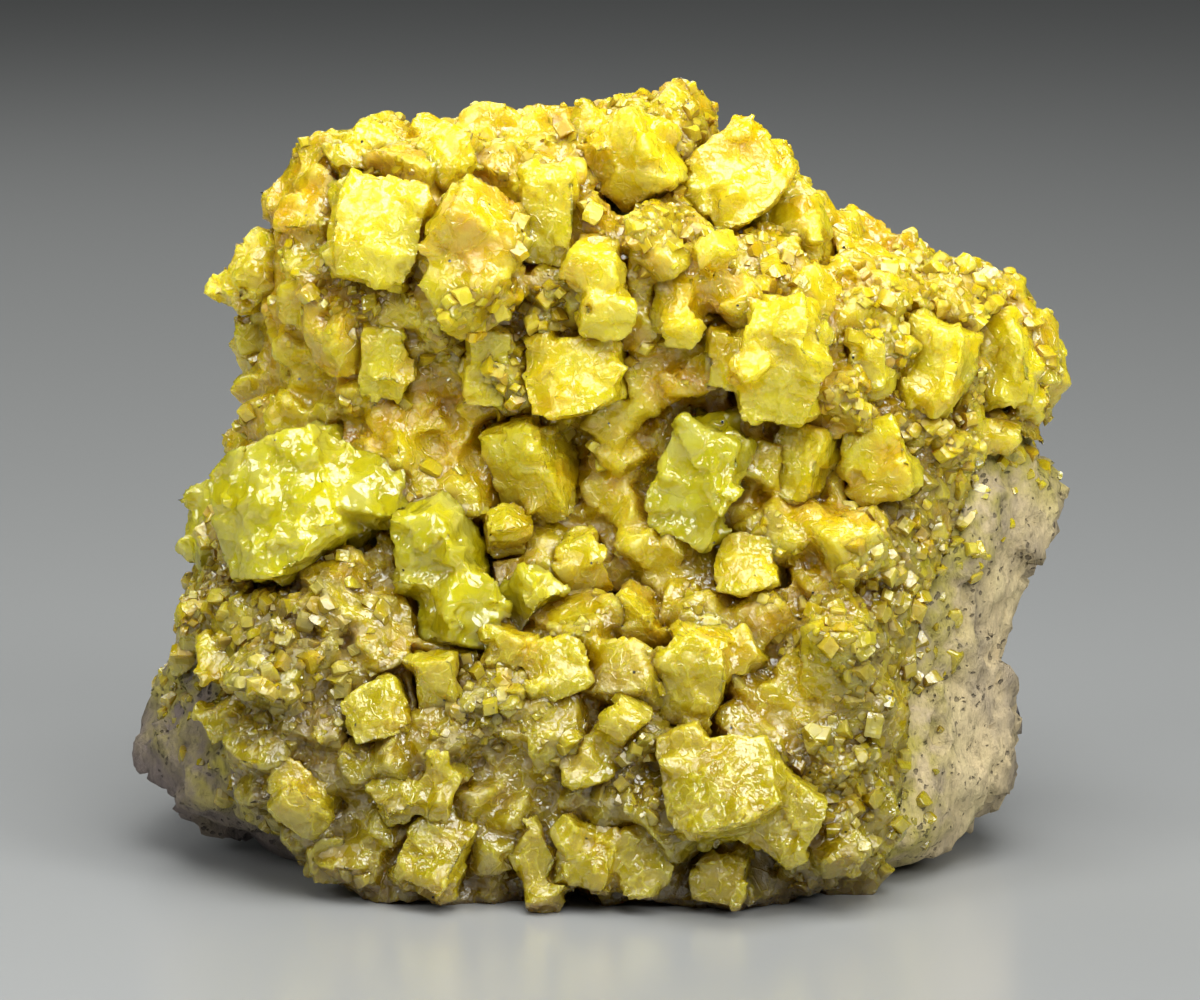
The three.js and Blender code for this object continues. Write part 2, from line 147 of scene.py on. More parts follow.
view = {
    "distance": 0.65,  # metres from the specimen's middle, as for a macro lens
    "elevation": 10,  # degrees above the table
    "width": 120 * mm,  # of what the frame takes in at the specimen
    "aim": Vector((-0.6, 0, 36.6)) * mm,
}


def makeCamera():
    camera = bpy.data.objects.new("camera", bpy.data.cameras.new("camera"))
    bpy.context.scene.collection.objects.link(camera)
    lift = math.radians(view["elevation"])
    back = Vector((0, -math.cos(lift), math.sin(lift)))
    camera.location = view["aim"] + back * view["distance"]
    camera.rotation_euler = (-back).to_track_quat("-Z", "Y").to_euler()
    camera.data.lens = camera.data.sensor_width * view["distance"] / view["width"]
    camera.data.clip_start = 0.01
    bpy.context.scene.camera = camera


# places in metres
softboxes = {
    "top": {"at": (0.05, -0.15, 0.55), "size": 0.45, "watts": 3.2},
    "front": {"at": (0.15, -0.70, 0.75), "size": 0.50, "watts": 3.6},
    "right": {"at": (0.45, -0.45, 0.40), "size": 0.24, "watts": 1.8},
    "left": {"at": (-0.50, -0.35, 0.40), "size": 0.26, "watts": 1.2},
    "back": {"at": (-0.20, 0.50, 0.45), "size": 0.35, "watts": 1.0},
}


studio = {
    "target": Vector((0, 0, 35)) * mm,  # where the softboxes point
    "world": "#b8bcbc",
    "worldStrength": 0.07,
    "floor": "#a9abaa",
    "floorRoughness": 0.22,
    "floorSize": 6.0,
    "bounces": {
        "max_bounces": 6,
        "diffuse_bounces": 2,
        "glossy_bounces": 2,
        "transmission_bounces": 4,
    },
}


def makeStudio():
    for name, box in softboxes.items():
        light = bpy.data.lights.new(name, "AREA")
        light.size = box["size"]
        light.energy = box["watts"]
        lamp = bpy.data.objects.new(name, light)
        bpy.context.scene.collection.objects.link(lamp)
        lamp.location = box["at"]
        toSpecimen = studio["target"] - Vector(box["at"])
        lamp.rotation_euler = toSpecimen.to_track_quat("-Z", "Y").to_euler()
    world = bpy.data.worlds.new("studio")
    bpy.context.scene.world = world
    world.use_nodes = True
    background = world.node_tree.nodes["Background"]
    background.inputs["Color"].default_value = linearColor(studio["world"])
    background.inputs["Strength"].default_value = studio["worldStrength"]
    bpy.context.scene.view_settings.view_transform = "Standard"
    for key, count in studio["bounces"].items():
        setattr(bpy.context.scene.cycles, key, count)

    bm = bmesh.new()
    bmesh.ops.create_grid(bm, x_segments=1, y_segments=1, size=studio["floorSize"])
    mesh = bpy.data.meshes.new("floor")
    bm.to_mesh(mesh)
    bm.free()
    floor = objectOf("floor", mesh)
    paint = bpy.data.materials.new("satin acrylic sheet")
    paint.use_nodes = True
    shader = paint.node_tree.nodes["Principled BSDF"]
    shader.inputs["Base Color"].default_value = linearColor(studio["floor"])
    shader.inputs["Roughness"].default_value = studio["floorRoughness"]
    mesh.materials.append(paint)


makeCamera()
makeStudio()
print("camera and studio ready")


def newMaterial(name):
    material = bpy.data.materials.new(name)
    material.use_nodes = True
    material.node_tree.nodes.clear()
    return material, material.node_tree


def ramp(tree, source, stops):
    # a colour ramp with stops of (place, hex or grey)
    node = addNode(tree, "ShaderNodeValToRGB", inputs={"Fac": source})
    elements = node.color_ramp.elements
    while len(elements) < len(stops):
        elements.new(0.5)
    for element, (place, color) in zip(elements, stops):
        element.position = place
        element.color = linearColor(color) if isinstance(color, str) else (color, color, color, 1)
    return node.outputs["Color"]


def mixed(tree, factor, first, second, blend="MIX"):
    settings = {"data_type": "RGBA", "blend_type": blend}
    inputs = {"Factor": factor, "A": first, "B": second}
    return addNode(tree, "ShaderNodeMix", settings, inputs).outputs["Result"]


def maths(tree, operation, first, second):
    return addNode(tree, "ShaderNodeMath", {"operation": operation}, {0: first, 1: second}).outputs[0]


def ranged(tree, source, fromRange, toRange=(0.0, 1.0)):
    inputs = {"Value": source, "From Min": fromRange[0], "From Max": fromRange[1]}
    inputs.update({"To Min": toRange[0], "To Max": toRange[1]})
    return addNode(tree, "ShaderNodeMapRange", inputs=inputs).outputs["Result"]


def noiseAt(tree, place, size, detail=3.0, roughness=0.55):
    # cloudy noise with features of about this size in mm
    inputs = {"Vector": place, "Scale": 1 / (size * mm), "Detail": detail, "Roughness": roughness}
    return addNode(tree, "ShaderNodeTexNoise", inputs=inputs).outputs["Fac"]


def cellsAt(tree, place, size):
    # crystal-like cells of about this size in mm: distance from the middle and a colour for each
    inputs = {"Vector": place, "Scale": 1 / (size * mm)}
    return addNode(tree, "ShaderNodeTexVoronoi", inputs=inputs).outputs


def vectors(tree, operation, inputs):
    return addNode(tree, "ShaderNodeVectorMath", {"operation": operation}, inputs).outputs[0]


def tilted(tree, normal, cells, tilt):
    # leans the normal its own way in each cell, so that single facets catch the light
    lean = vectors(tree, "SUBTRACT", {0: cells["Color"], 1: (0.5, 0.5, 0.5)})
    scaled = vectors(tree, "SCALE", {0: lean, "Scale": tilt})
    added = vectors(tree, "ADD", {0: normal, 1: scaled})
    return vectors(tree, "NORMALIZE", {0: added})


def attributeOf(tree, name):
    return addNode(tree, "ShaderNodeAttribute", {"attribute_name": name}).outputs["Fac"]


# what every kind of sulfur has in common, sizes in mm
sulfurShared = {
    "index": 1.96,
    "radius": (2.2, 1.8, 0.4),  # how far each colour of light spreads, relative to the depth
    "toneShare": 0.16,  # how much one small crystal differs from the next
    "lowFrom": 44,  # heights between which the colour turns to the low one
    "lowTo": 12,
    "lineSize": 2.6,
    "lines": "#f2ea50",
    # colour of the painted highlight on convex edges
    "edges": "#f6ee54",
    "grainSize": 0.7,
    "brokenSize": 2.2,
    # how far the occlusion looks for the painted shade in recesses
    "paintedShadeReach": 5,
    "speckSpacing": 3.7,
    "sugarSize": 0.75,
    "sugarPatch": 6.0,
    "reliefDepth": 0.18,
    "rockGloss": 0.4,  # roughness added where grains of the rock show
    "absorbed": "#f0e048",
}


def sulfurMaterial(name, look):
    # native sulfur: waxy and translucent, with a high index that gives cream-white glints
    material, tree = newMaterial(name)
    look = {**sulfurShared, **look}
    place = addNode(tree, "ShaderNodeTexCoord").outputs["Object"]
    geometry = addNode(tree, "ShaderNodeNewGeometry").outputs
    tone = maths(tree, "MULTIPLY", attributeOf(tree, "tone"), look["toneShare"])
    matrix = attributeOf(tree, "matrix")

    cloud = maths(tree, "ADD", noiseAt(tree, place, look["cloudSize"], 2.0), tone)
    color = ramp(tree, cloud, [(0.32, look["deep"]), (0.5, look["body"]), (0.7, look["pale"])])
    height = addNode(tree, "ShaderNodeSeparateXYZ", inputs={"Vector": place}).outputs["Z"]
    heights = (look["lowFrom"] * mm, look["lowTo"] * mm)
    low = ranged(tree, height, heights, (0.0, look["lowShare"]))
    color = mixed(tree, low, color, linearColor(look["low"]))

    # growth lines and healed cracks, paler than the body
    bands = noiseAt(tree, place, look["lineSize"], 2.0)
    lines = ramp(tree, bands, [(0.46, 0.0), (0.5, 1.0), (0.54, 0.0)])
    veil = maths(tree, "MULTIPLY", lines, look["veil"])
    color = mixed(tree, veil, color, linearColor(look["lines"]))
    # painted highlight: convex edges turned paler, as if catching the light
    edge = ranged(tree, geometry["Pointiness"], (0.5, 0.62), (0.0, look["edge"]))
    color = mixed(tree, edge, color, linearColor(look["edges"]))

    # grains of the rock caught between the crystals
    grain = noiseAt(tree, place, look["grainSize"], 2.0, 0.65)
    rockColor = ramp(tree, grain, [(0.3, "#2c2616"), (0.5, "#5e5430"), (0.7, "#8e8256")])
    gaps = ranged(tree, noiseAt(tree, place, look["brokenSize"], 2.0), (0.4, 0.6))
    broken = maths(tree, "MULTIPLY", matrix, gaps)
    color = mixed(tree, broken, color, rockColor)

    # painted shade: recesses turned deep golden and darker by an occlusion mask, standing in for the
    # light that comes through other crystals first
    reach = {"Distance": look["paintedShadeReach"] * mm}
    occlusionForPaintedShade = addNode(tree, "ShaderNodeAmbientOcclusion", {"samples": 1}, reach).outputs["AO"]
    paintedRecessShade = ramp(tree, occlusionForPaintedShade, [(0.0, look["pit"]), (0.3, look["paintedRecessShade"]), (0.6, "#ffffff")])
    color = mixed(tree, 1.0, color, paintedRecessShade, "MULTIPLY")
    specks = ranged(tree, cellsAt(tree, place, look["speckSpacing"])["Distance"], (0.035, 0.05))
    color = mixed(tree, 1.0, color, specks, "MULTIPLY")

    # flat facets, and a sugary surface in patches
    facetSize, facetTilt = look["facet"]
    facets = cellsAt(tree, place, facetSize)
    sugar = cellsAt(tree, place, look["sugarSize"])
    patches = noiseAt(tree, place, look["sugarPatch"], 2.0)
    sugarTilt = ranged(tree, patches, (0.48, 0.62), (0.1, look["sugar"]))
    normal = tilted(tree, geometry["Normal"], facets, facetTilt)
    normal = tilted(tree, normal, sugar, sugarTilt)
    relief = maths(tree, "ADD", grain, maths(tree, "MULTIPLY", lines, 0.5))
    bump = addNode(
        tree,
        "ShaderNodeBump",
        inputs={
            "Strength": look["etch"],
            "Distance": look["reliefDepth"] * mm,
            "Height": relief,
            "Normal": normal,
        },
    ).outputs["Normal"]
    apart = addNode(tree, "ShaderNodeSeparateColor", inputs={"Color": facets["Color"]}).outputs[0]
    gloss = ranged(tree, apart, (0.2, 0.9), look["gloss"])
    gloss = maths(tree, "ADD", gloss, maths(tree, "MULTIPLY", broken, look["rockGloss"]))
    waxy = maths(tree, "MULTIPLY", maths(tree, "SUBTRACT", 1.0, broken), look["subsurface"])
    shader = addNode(
        tree,
        "ShaderNodeBsdfPrincipled",
        inputs={
            "Base Color": color,
            "Roughness": gloss,
            "IOR": look["index"],
            "Subsurface Weight": waxy,
            "Subsurface Radius": look["radius"],
            "Subsurface Scale": look["depth"] * mm,
            "Transmission Weight": look["clear"],
            "Normal": bump,
        },
    )
    shader.subsurface_method = "BURLEY"
    out = addNode(tree, "ShaderNodeOutputMaterial", inputs={"Surface": shader.outputs[0]})
    if look["clear"] > 0:
        tint = addNode(
            tree,
            "ShaderNodeVolumeAbsorption",
            inputs={"Color": linearColor(look["absorbed"]), "Density": look["density"]},
        )
        tree.links.new(tint.outputs[0], out.inputs["Volume"])
    return material


cloudySulfur = sulfurMaterial(
    "cloudy native sulfur",
    {
        "deep": "#e0bc06",
        "body": "#e6d40e",
        "pale": "#ecdf38",
        "low": "#8c7a06",
        "lowShare": 0.75,
        # pit and the colour after it: painted shade multiplied into the hollows, darkest in the deepest
        "pit": "#a88a10",
        "paintedRecessShade": "#ecd034",
        "cloudSize": 6,
        "veil": 0.35,
        # edge: strength of the painted highlight on convex edges
        "edge": 0.35,
        "facet": (2.1, 0.4),
        "sugar": 0.5,
        "gloss": (0.03, 0.38),
        "etch": 1.0,
        "subsurface": 1.0,
        "depth": 1.5,
        "clear": 0.0,
    },
)
clearSulfur = sulfurMaterial(
    "clear native sulfur",
    {
        "deep": "#eede0c",
        "body": "#f6ec20",
        "pale": "#faf46c",
        "low": "#dcd420",
        "lowShare": 0.3,
        # pit and the colour after it: painted shade multiplied into the hollows, darkest in the deepest
        "pit": "#a09010",
        "paintedRecessShade": "#e4d830",
        "cloudSize": 5,
        "veil": 0.6,
        # edge: strength of the painted highlight on convex edges
        "edge": 0.3,
        "facet": (2.2, 0.8),
        "sugar": 0.4,
        "gloss": (0.02, 0.2),
        "etch": 0.4,
        "subsurface": 1.0,
        "depth": 1.2,
        "clear": 0.35,
        "density": 10.0,
    },
)
crustSulfur = sulfurMaterial(
    "intergrown native sulfur",
    {
        "deep": "#dcb004",
        "body": "#e4c80a",
        "pale": "#ecdc28",
        "low": "#7e6c06",
        "lowShare": 0.8,
        # pit and the colour after it: painted shade multiplied into the hollows, darkest in the deepest
        "pit": "#947008",
        "paintedRecessShade": "#e8c828",
        "cloudSize": 5,
        "veil": 0.3,
        # edge: strength of the painted highlight on convex edges
        "edge": 0.35,
        "facet": (1.5, 0.5),
        "sugar": 0.8,
        "gloss": (0.03, 0.45),
        "etch": 1.0,
        "subsurface": 1.0,
        "depth": 1.5,
        "clear": 0.0,
    },
)
smallSulfur = sulfurMaterial(
    "fine crystals of native sulfur",
    {
        "deep": "#dcb808",
        "body": "#e4ce14",
        "pale": "#ecdf3c",
        "low": "#8c7c08",
        "lowShare": 0.75,
        # pit and the colour after it: painted shade multiplied into the hollows, darkest in the deepest
        "pit": "#947008",
        "paintedRecessShade": "#e8c828",
        "cloudSize": 4,
        "veil": 0.15,
        # edge: strength of the painted highlight on convex edges
        "edge": 0.0,
        "facet": (1.2, 0.15),
        "sugar": 0.3,
        "gloss": (0.06, 0.5),
        "etch": 0.4,
        "subsurface": 1.0,
        "depth": 0.35,
        "clear": 0.0,
    },
)


# sizes in mm
tuffLook = {
    "patchSize": 11,
    "stretch": (1.0, 1.0, 0.45),  # bedding that makes the texture taller than wide
    "greyFrom": -8,  # x between which beige gives way to grey
    "greyTo": -26,
    "stain": "#b8ac4c",
    "blotchSize": 3.0,
    "grainSize": 0.7,
    "poreSize": 0.95,
    "poreBend": 0.0012,
    # colour of the painted shade inside the pores
    "poresWithPaintedShade": "#3a322c",
    "reliefDepth": 0.45,
    "roughness": 0.92,
}


def tuffMaterial():
    # beige on the right flank, purplish grey at the lower left, stained yellow near the sulfur
    look = tuffLook
    material, tree = newMaterial("porous volcanic tuff")
    place = addNode(tree, "ShaderNodeTexCoord").outputs["Object"]
    stretched = addNode(
        tree, "ShaderNodeMapping", inputs={"Vector": place, "Scale": look["stretch"]}
    ).outputs["Vector"]
    patch = noiseAt(tree, stretched, look["patchSize"], 5.0, 0.6)
    beige = ramp(
        tree, patch, [(0.34, "#6c6664"), (0.43, "#a99a80"), (0.55, "#d6c296"), (0.7, "#e0d09c")]
    )
    grey = ramp(tree, patch, [(0.3, "#5c5458"), (0.5, "#857870"), (0.7, "#a09274")])
    across = addNode(tree, "ShaderNodeSeparateXYZ", inputs={"Vector": place}).outputs["X"]
    leftward = ranged(tree, across, (look["greyFrom"] * mm, look["greyTo"] * mm))
    color = mixed(tree, leftward, beige, grey)
    blotch = ranged(tree, noiseAt(tree, place, look["blotchSize"], 4.0), (0.35, 0.6))
    stained = maths(tree, "MULTIPLY", attributeOf(tree, "stain"), blotch)
    color = mixed(tree, stained, color, linearColor(look["stain"]))
    grain = noiseAt(tree, stretched, look["grainSize"], 4.0, 0.7)
    shade = ramp(tree, grain, [(0.3, 0.3), (0.45, 0.85), (0.65, 1.1)])
    color = mixed(tree, 0.75, color, shade, "MULTIPLY")

    # pores of uneven outline and width, with painted shade: a dark colour painted into them where the
    # holes would be in shade
    bent = mixed(tree, look["poreBend"], place, noiseAt(tree, place, 1.0))
    poresWithPaintedShade = cellsAt(tree, bent, look["poreSize"])["Distance"]
    width = ranged(tree, noiseAt(tree, place, 4.0, 3.0), (0.42, 0.62), (0.08, 0.34))
    pit = ranged(tree, maths(tree, "SUBTRACT", width, poresWithPaintedShade), (0.0, 0.1))
    color = mixed(tree, maths(tree, "MULTIPLY", pit, 0.6), color, linearColor(look["poresWithPaintedShade"]))
    relief = maths(tree, "SUBTRACT", grain, pit)
    bump = addNode(
        tree,
        "ShaderNodeBump",
        inputs={"Strength": 1.0, "Distance": look["reliefDepth"] * mm, "Height": relief},
    ).outputs["Normal"]
    shader = addNode(
        tree,
        "ShaderNodeBsdfPrincipled",
        inputs={"Base Color": color, "Roughness": look["roughness"], "IOR": 1.5, "Normal": bump},
    )
    addNode(tree, "ShaderNodeOutputMaterial", inputs={"Surface": shader.outputs[0]})
    return material


tuff = tuffMaterial()


# alpha-sulfur is orthorhombic: the lengths of its axes a, b and c relative to b
sulfurAxes = (0.813, 1.0, 1.903)


def crystalFaces(draw):
    # face planes (normal, distance) of a crystal about 1 wide: prism, ends, bipyramids and domes
    tall = draw.uniform(0.75, 1.5)
    trim = draw.uniform(0.78, 0.92)
    forms = [
        ((1, 1, 0), 1.0),
        ((0, 0, 1), 1.0),
        ((1, 1, 1), trim),
        ((1, 1, 3), trim * draw.uniform(0.98, 1.1)),
        ((0, 1, 1), draw.uniform(1.05, 1.3)),
    ]
    faces = []
    for (h, k, m), share in forms:
        for sx in (-1, 1) if h else (1,):
            for sy in (-1, 1) if k else (1,):
                for sz in (-1, 1) if m else (1,):
                    index = zip((h * sx, k * sy, m * sz), sulfurAxes)
                    normal = Vector([i / axis for i, axis in index]).normalized()
                    support = normal.xy.length * 0.45 + abs(normal.z) * tall / 2
                    faces.append((normal, share * support * draw.uniform(0.92, 1.08)))
    return faces


def crystalMesh(name, draw):
    bm = bmesh.new()
    bmesh.ops.create_cube(bm, size=4)
    for normal, reach in crystalFaces(draw):
        everything = bm.verts[:] + bm.edges[:] + bm.faces[:]
        cut = bmesh.ops.bisect_plane(
            bm, geom=everything, plane_co=normal * reach, plane_no=normal, clear_outer=True
        )
        rim = [g for g in cut["geom_cut"] if isinstance(g, bmesh.types.BMEdge)]
        if len(rim) > 2:
            bmesh.ops.edgeloop_fill(bm, edges=rim)
    bmesh.ops.remove_doubles(bm, verts=bm.verts, dist=0.02)
    bmesh.ops.recalc_face_normals(bm, faces=bm.faces)
    mesh = bpy.data.meshes.new(name)
    bm.to_mesh(mesh)
    bm.free()
    return mesh


def crystalCollection(name, count, seed):
    # a shelf of crystals that the scatter picks from
    draw = random.Random(seed)
    shelf = bpy.data.collections.new(name)
    for i in range(count):
        shelf.objects.link(bpy.data.objects.new(f"{name}_{i}", crystalMesh(f"{name}_{i}", draw)))
    return shelf


scatterShape = {
    "bias": 1.8,  # above 1, small crystals outnumber large ones
    "picks": 999,  # random numbers that wrap around the shelf of crystals
    "tones": (-0.6, 0.8),
    "toneSeed": 77,
}


def scatterTree():
    # turned and scaled crystals over a surface where its cover attribute says so
    tree = bpy.data.node_groups.new("crystal scatter", "GeometryNodeTree")
    face = tree.interface
    for name, kind in (
        ("Geometry", "NodeSocketGeometry"),
        ("Crystals", "NodeSocketCollection"),
        ("Keep Clear", "NodeSocketObject"),
        ("Clearance", "NodeSocketFloat"),
        ("Spacing", "NodeSocketFloat"),
        ("Density", "NodeSocketFloat"),
        ("Smallest", "NodeSocketFloat"),
        ("Largest", "NodeSocketFloat"),
        ("Stand Out", "NodeSocketFloat"),
        ("Seed", "NodeSocketInt"),
        ("Material", "NodeSocketMaterial"),
    ):
        face.new_socket(name, in_out="INPUT", socket_type=kind)
    face.new_socket("Geometry", in_out="OUTPUT", socket_type="NodeSocketGeometry")
    given = addNode(tree, "NodeGroupInput").outputs
    cover = addNode(
        tree, "GeometryNodeInputNamedAttribute", {"data_type": "FLOAT"}, {"Name": "cover"}
    ).outputs["Attribute"]
    points = addNode(
        tree,
        "GeometryNodeDistributePointsOnFaces",
        {"distribute_method": "POISSON"},
        {
            "Mesh": given["Geometry"],
            "Distance Min": given["Spacing"],
            "Density Max": given["Density"],
            "Density Factor": cover,
            "Seed": given["Seed"],
        },
    ).outputs
    obstacle = addNode(
        tree,
        "GeometryNodeObjectInfo",
        {"transform_space": "RELATIVE"},
        {"Object": given["Keep Clear"]},
    ).outputs["Geometry"]
    near = addNode(
        tree, "GeometryNodeProximity", {"target_element": "FACES"}, {"Geometry": obstacle}
    ).outputs["Distance"]
    tooNear = addNode(
        tree,
        "FunctionNodeCompare",
        {"data_type": "FLOAT", "operation": "LESS_THAN"},
        {"A": near, "B": given["Clearance"]},
    ).outputs["Result"]
    kept = addNode(
        tree,
        "GeometryNodeDeleteGeometry",
        {"domain": "POINT"},
        {"Geometry": points["Points"], "Selection": tooNear},
    ).outputs["Geometry"]
    chance = addNode(
        tree, "FunctionNodeRandomValue", {"data_type": "FLOAT"}, {"Seed": given["Seed"]}
    ).outputs[1]
    biased = maths(tree, "POWER", chance, scatterShape["bias"])
    size = addNode(
        tree,
        "ShaderNodeMapRange",
        inputs={"Value": biased, "To Min": given["Smallest"], "To Max": given["Largest"]},
    ).outputs["Result"]
    lift = maths(tree, "MULTIPLY", size, given["Stand Out"])
    outwards = vectors(tree, "SCALE", {0: points["Normal"], "Scale": lift})
    raised = addNode(
        tree, "GeometryNodeSetPosition", inputs={"Geometry": kept, "Offset": outwards}
    ).outputs["Geometry"]
    turn = addNode(
        tree,
        "FunctionNodeRandomValue",
        {"data_type": "FLOAT_VECTOR"},
        {"Min": (0, 0, 0), "Max": (2 * math.pi,) * 3, "Seed": given["Seed"]},
    ).outputs[0]
    pick = addNode(
        tree,
        "FunctionNodeRandomValue",
        {"data_type": "INT"},
        {"Min": 0, "Max": scatterShape["picks"], "Seed": given["Seed"]},
    ).outputs[2]
    shelf = addNode(
        tree,
        "GeometryNodeCollectionInfo",
        inputs={
            "Collection": given["Crystals"],
            "Separate Children": True,
            "Reset Children": True,
        },
    ).outputs["Instances"]
    placed = addNode(
        tree,
        "GeometryNodeInstanceOnPoints",
        inputs={
            "Points": raised,
            "Instance": shelf,
            "Pick Instance": True,
            "Instance Index": pick,
            "Rotation": turn,
            "Scale": size,
        },
    ).outputs["Instances"]
    darkest, palest = scatterShape["tones"]
    tone = addNode(
        tree,
        "FunctionNodeRandomValue",
        {"data_type": "FLOAT"},
        {"Min": darkest, "Max": palest, "Seed": scatterShape["toneSeed"]},
    ).outputs[1]
    toned = addNode(
        tree,
        "GeometryNodeStoreNamedAttribute",
        {"data_type": "FLOAT", "domain": "INSTANCE"},
        {"Geometry": placed, "Name": "tone", "Value": tone},
    ).outputs["Geometry"]
    real = addNode(
        tree, "GeometryNodeRealizeInstances", inputs={"Geometry": toned}
    ).outputs["Geometry"]
    painted = addNode(
        tree, "GeometryNodeSetMaterial", inputs={"Geometry": real, "Material": given["Material"]}
    ).outputs["Geometry"]
    addNode(tree, "NodeGroupOutput", inputs={"Geometry": painted})
    return tree


scatter = scatterTree()


def scattered(name, surface, inputs):
    # crystals over a surface, as a plain mesh
    piece = objectOf(name, surface.copy())
    growth = piece.modifiers.new("growth", "NODES")
    growth.node_group = scatter
    sockets = {s.name: s.identifier for s in scatter.interface.items_tree if s.in_out == "INPUT"}
    for key, value in inputs.items():
        growth[sockets[key]] = value
    return finishedMesh(piece)


def joined(meshes):
    bm = bmesh.new()
    for mesh in meshes:
        bm.from_mesh(mesh)
    whole = bpy.data.meshes.new("joined")
    bm.to_mesh(whole)
    bm.free()
    return whole


rockShape = {
    "voxel": 0.75 * mm,
    "blocks": (9.0, 0.16, 0.5),  # size of the broken faces, their tilt and step
    "chips": (3.0, 0.16, 0.2),
    "grit": (0.9, 0.22),  # size and height of the grains in mm
    "swell": (2.4, 0.25),
    "pore": 1.7,  # mm between pores
    "poreDepth": 0.5,
    "limits": (-2.2, 1.2),  # mm, how far the surface may move in and out
    "stain": 10.0,  # mm, how far the yellow creeps from the crust over the rock
}


def rough(place, size, height):
    return height * noise.noise(place / size)


def rockHeight(place, normal):
    # the foot stays flat on the table
    flat = smooth(0.0, 2.5, place.z)
    d = facetHeight(place, *rockShape["blocks"]) + facetHeight(place, *rockShape["chips"])
    d += rough(place, *rockShape["grit"]) + rough(place, *rockShape["swell"])
    pit = noise.voronoi(place / rockShape["pore"])[0][0]
    porous = smooth(0.0, 0.25, noise.noise(place / 6))
    d -= rockShape["poreDepth"] * smooth(0.34, 0.12, pit) * porous
    deepest, highest = rockShape["limits"]
    return max(deepest, min(highest, d)) * flat


def makeRock():
    mesh = remeshed(meshOfNode("matrix_rock"), rockShape["voxel"])
    displace(mesh, rockHeight)
    crust = treeOf(meshOfNode("sulfur_druse"))

    def stain(place, normal):
        away = crust.find_nearest(place * mm)[3] / mm
        return smooth(rockShape["stain"] + 3 * noise.noise(place / 5), 0.5, away)

    setAttribute(mesh, "stain", stain)
    mesh.materials.append(tuff)
    rock = objectOf("tuff_lump", mesh)
    fit(rock, "matrix_rock")
    return rock


rock = makeRock()
print("rock ready")


def nodesOf(slot):
    return [s["node"] for s in frame["record"]["subparts"] if s["material_slot"] == slot]


clearNodes = nodesOf("clear_sulfur")
cloudyNodes = nodesOf("cloudy_sulfur")
shelf = crystalCollection("sulfurCrystal", 14, 3)

crystalShape = {
    "voxel": 0.31 * mm,
    "steps": (3.2, 0.1, 0.16),  # blocky growth steps on the faces: size, tilt and height in mm
    "mosaic": (1.3, 0.1),
    "etch": (0.7, 0.07),  # size and height in mm
    "swell": (3, 0.2),
    "turn": (1.7, 2.3, 0.9),  # radians, how each crystal's lattice is turned from the last one's
    "intergrown": {
        "Clearance": 0.0,
        "Spacing": 4.4 * mm,
        "Density": 50000.0,
        "Smallest": 2.0 * mm,
        "Largest": 4.4 * mm,
        "Stand Out": -0.3,
    },
}


def makeCrystal(node, number):
    # the CAD crystal with smaller ones grown into its sides, its faces stepped along its own lattice
    isClear = node in clearNodes
    base = meshOfNode(node)
    setAttribute(base, "cover", lambda place, normal: 1.0)
    nothing = objectOf("nothing", bpy.data.meshes.new("nothing"))
    inputs = {"Crystals": shelf, "Keep Clear": nothing, "Seed": number}
    grown = scattered("grown", base, {**inputs, **crystalShape["intergrown"]})
    bpy.data.objects.remove(nothing)
    mesh = remeshed(joined([base, grown]), crystalShape["voxel"])
    lattice = Euler([number * angle for angle in crystalShape["turn"]]).to_matrix()

    def height(place, normal):
        turned = lattice @ place
        d = facetHeight(turned, *crystalShape["steps"], "CHEBYCHEV")
        d += facetHeight(turned, *crystalShape["mosaic"])
        return d + rough(place, *crystalShape["etch"]) + rough(place, *crystalShape["swell"])

    displace(mesh, height)
    mesh.materials.clear()
    mesh.materials.append(clearSulfur if isClear else cloudySulfur)
    crystal = objectOf(f"{node}_crystal", mesh)
    fit(crystal, node)
    return crystal


crystals = [makeCrystal(node, i) for i, node in enumerate(clearNodes + cloudyNodes)]
print("crystals ready:", len(crystals))

crustShape = {
    "voxel": 0.4 * mm,
    "steps": (3.0, 0.12, 0.14),
    "mosaic": (1.2, 0.08),
    "etch": (0.8, 0.08),
    "triangles": 170000,
    "bedVoxel": 1.2 * mm,
    "bedSink": 2.3,  # mm, how much deeper the crystals sit along the outline
    "matrixShare": 0.45,
    "strayShare": 0.5,
    "loose": 0.5,  # share of the fine crystals outside their patches
    "middling": {
        "Clearance": 0.3 * mm,
        "Spacing": 3.0 * mm,
        "Density": 250000.0,
        "Smallest": 3.6 * mm,
        "Largest": 7.5 * mm,
        "Stand Out": 0.0,
        "Seed": 4,
    },
    "small": {
        "Clearance": 0.1 * mm,
        "Spacing": 0.9 * mm,
        "Density": 1100000.0,
        "Smallest": 0.6 * mm,
        "Largest": 2.0 * mm,
        "Stand Out": -0.25,
        "Seed": 9,
    },
}

# where fine crystals cover everything: x, z and reach in mm on the front
finePatches = [
    (-9, 55, 8),
    (-25, 61, 7),
    (6, 70, 9),
    (33, 52, 13),
    (28, 28, 9),
    (22, 14, 7),
    (3, 15, 6),
    (-12, 20, 6),
    (-30, 22, 9),
    (14, 60, 6),
    (-38, 30, 9),
    (32, 38, 8),
]

# where grains of the rock show through the crust
matrixPatches = [
    (-27, 24, 11),
    (-14, 17, 6),
    (-1, 12, 5),
    (31, 36, 6),
    (29, 22, 7),
    (-33, 12, 12),
    (13, 2, 10),
]


def patchShare(patches, place):
    # 1 in the middle of a patch and 0 beyond its edge
    def share(x, z, reach):
        return smooth(reach * 1.15, reach * 0.5, math.hypot(place.x - x, place.z - z))

    return max(share(*patch) for patch in patches)


def aboveTable(z):
    return smooth(1.0, 2.5, z)


def outward(place, normal):
    # 1 on the outer side of the crust, 0 on the side that lies against the rock
    return 1.0 if normal.y < 0.35 or normal.z > 0.35 else 0.0


